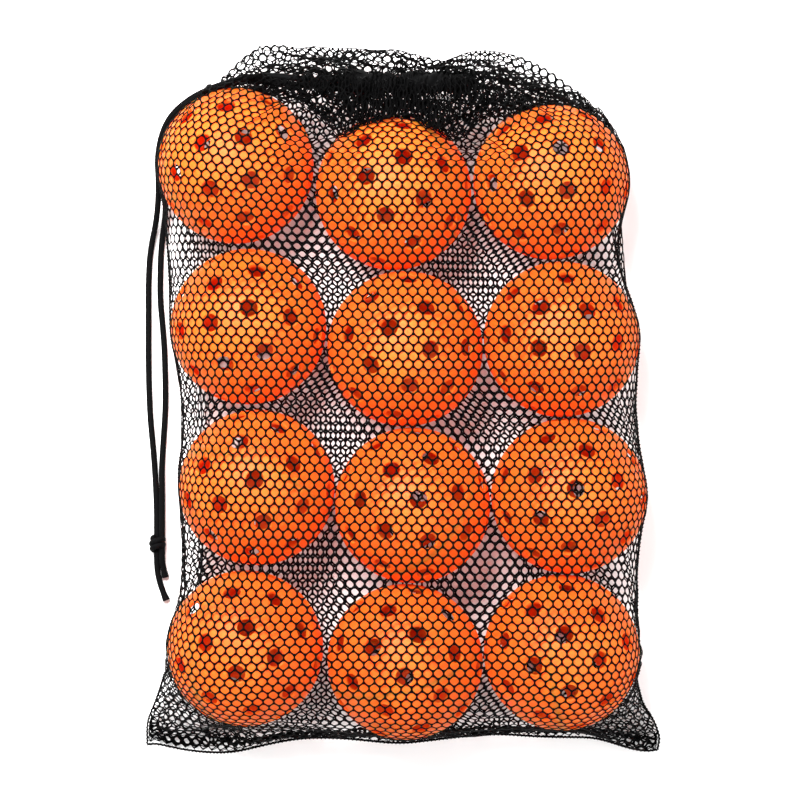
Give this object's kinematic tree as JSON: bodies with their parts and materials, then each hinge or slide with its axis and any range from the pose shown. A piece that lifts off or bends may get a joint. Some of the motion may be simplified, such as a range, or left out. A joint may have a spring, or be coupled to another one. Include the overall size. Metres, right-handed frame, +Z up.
{
  "type": "net drawstring bag of pickleball balls",
  "caption": "Net drawstring bag, cinched shut, holding perforated pickleball balls in one flat layer, each ball two welded halves.",
  "frame": {"origin": "centre of the underside of the flat bag, without its drawcord, at the level that it rests on", "axes": "+Z up, away from the resting face; +Y along the bag towards its gathered mouth; +X to the right of +Y"},
  "size_m": [0.2486, 0.338, 0.0756],
  "materials": {
    "ball_plastic": "satin",
    "net": "matte",
    "hem": "matte",
    "thread": "matte",
    "cord": "matte"
  },
  "bodies": {
    "bag": {"net_front_panel": "net", "net_back_panel": "net", "side_seam_left": "thread", "side_seam_right": "thread", "bottom_seam": "thread", "mouth_hem": "hem"},
    "drawcord": {"drawcord_loop": "cord", "drawcord_strand_a": "cord", "drawcord_strand_b": "cord", "cord_knot": "cord", "cord_tail_short": "cord", "cord_tail_long": "cord"},
    "ball_01": {"ball_01_upper_half": "ball_plastic", "ball_01_lower_half": "ball_plastic"},
    "ball_02": {"ball_02_upper_half": "ball_plastic", "ball_02_lower_half": "ball_plastic"},
    "ball_03": {"ball_03_upper_half": "ball_plastic", "ball_03_lower_half": "ball_plastic"},
    "ball_04": {"ball_04_upper_half": "ball_plastic", "ball_04_lower_half": "ball_plastic"},
    "ball_05": {"ball_05_upper_half": "ball_plastic", "ball_05_lower_half": "ball_plastic"},
    "ball_06": {"ball_06_upper_half": "ball_plastic", "ball_06_lower_half": "ball_plastic"},
    "ball_07": {"ball_07_upper_half": "ball_plastic", "ball_07_lower_half": "ball_plastic"},
    "ball_08": {"ball_08_upper_half": "ball_plastic", "ball_08_lower_half": "ball_plastic"},
    "ball_09": {"ball_09_upper_half": "ball_plastic", "ball_09_lower_half": "ball_plastic"},
    "ball_10": {"ball_10_upper_half": "ball_plastic", "ball_10_lower_half": "ball_plastic"},
    "ball_11": {"ball_11_upper_half": "ball_plastic", "ball_11_lower_half": "ball_plastic"},
    "ball_12": {"ball_12_upper_half": "ball_plastic", "ball_12_lower_half": "ball_plastic"}
  },
  "joints": [
    {"name": "ball_01_spin", "type": "hinge", "parent": "bag", "child": "ball_01", "pos_m": [-0.0795, 0.112, 0.0378], "axis": [0.4788, 0.0758, 0.8746], "continuous": true},
    {"name": "ball_02_spin", "type": "hinge", "parent": "bag", "child": "ball_02", "pos_m": [-0.0735, 0.0355, 0.0378], "axis": [-0.6077, -0.3096, 0.7314], "continuous": true},
    {"name": "ball_03_spin", "type": "hinge", "parent": "bag", "child": "ball_03", "pos_m": [-0.0695, -0.041, 0.0378], "axis": [-0.3694, -0.8704, 0.3256], "continuous": true},
    {"name": "ball_04_spin", "type": "hinge", "parent": "bag", "child": "ball_04", "pos_m": [-0.075, -0.1175, 0.0378], "axis": [0.7432, -0.1311, 0.6561], "continuous": true},
    {"name": "ball_05_spin", "type": "hinge", "parent": "bag", "child": "ball_05", "pos_m": [-0.0045, 0.0995, 0.0378], "axis": [-0.4763, -0.2323, 0.848], "continuous": true},
    {"name": "ball_06_spin", "type": "hinge", "parent": "bag", "child": "ball_06", "pos_m": [0.001, 0.025, 0.0378], "axis": [-0.3141, -0.5908, 0.7431], "continuous": true},
    {"name": "ball_07_spin", "type": "hinge", "parent": "bag", "child": "ball_07", "pos_m": [0.0045, -0.0495, 0.0378], "axis": [-0.621, 0.4851, 0.6157], "continuous": true},
    {"name": "ball_08_spin", "type": "hinge", "parent": "bag", "child": "ball_08", "pos_m": [0.001, -0.124, 0.0378], "axis": [-0.2621, 0.9142, 0.309], "continuous": true},
    {"name": "ball_09_spin", "type": "hinge", "parent": "bag", "child": "ball_09", "pos_m": [0.0705, 0.1045, 0.0378], "axis": [0.4169, 0.1355, 0.8988], "continuous": true},
    {"name": "ball_10_spin", "type": "hinge", "parent": "bag", "child": "ball_10", "pos_m": [0.0755, 0.0295, 0.0378], "axis": [-0.0788, -0.4471, 0.891], "continuous": true},
    {"name": "ball_11_spin", "type": "hinge", "parent": "bag", "child": "ball_11", "pos_m": [0.079, -0.045, 0.0378], "axis": [0.3657, -0.6334, 0.682], "continuous": true},
    {"name": "ball_12_spin", "type": "hinge", "parent": "bag", "child": "ball_12", "pos_m": [0.0755, -0.1195, 0.0378], "axis": [0.9758, 0.0682, 0.2079], "continuous": true},
    {"name": "drawcord_pull", "type": "slide", "parent": "bag", "child": "drawcord", "axis": [-1, 0, 0], "range_m": [0, 0.012]}
  ]
}
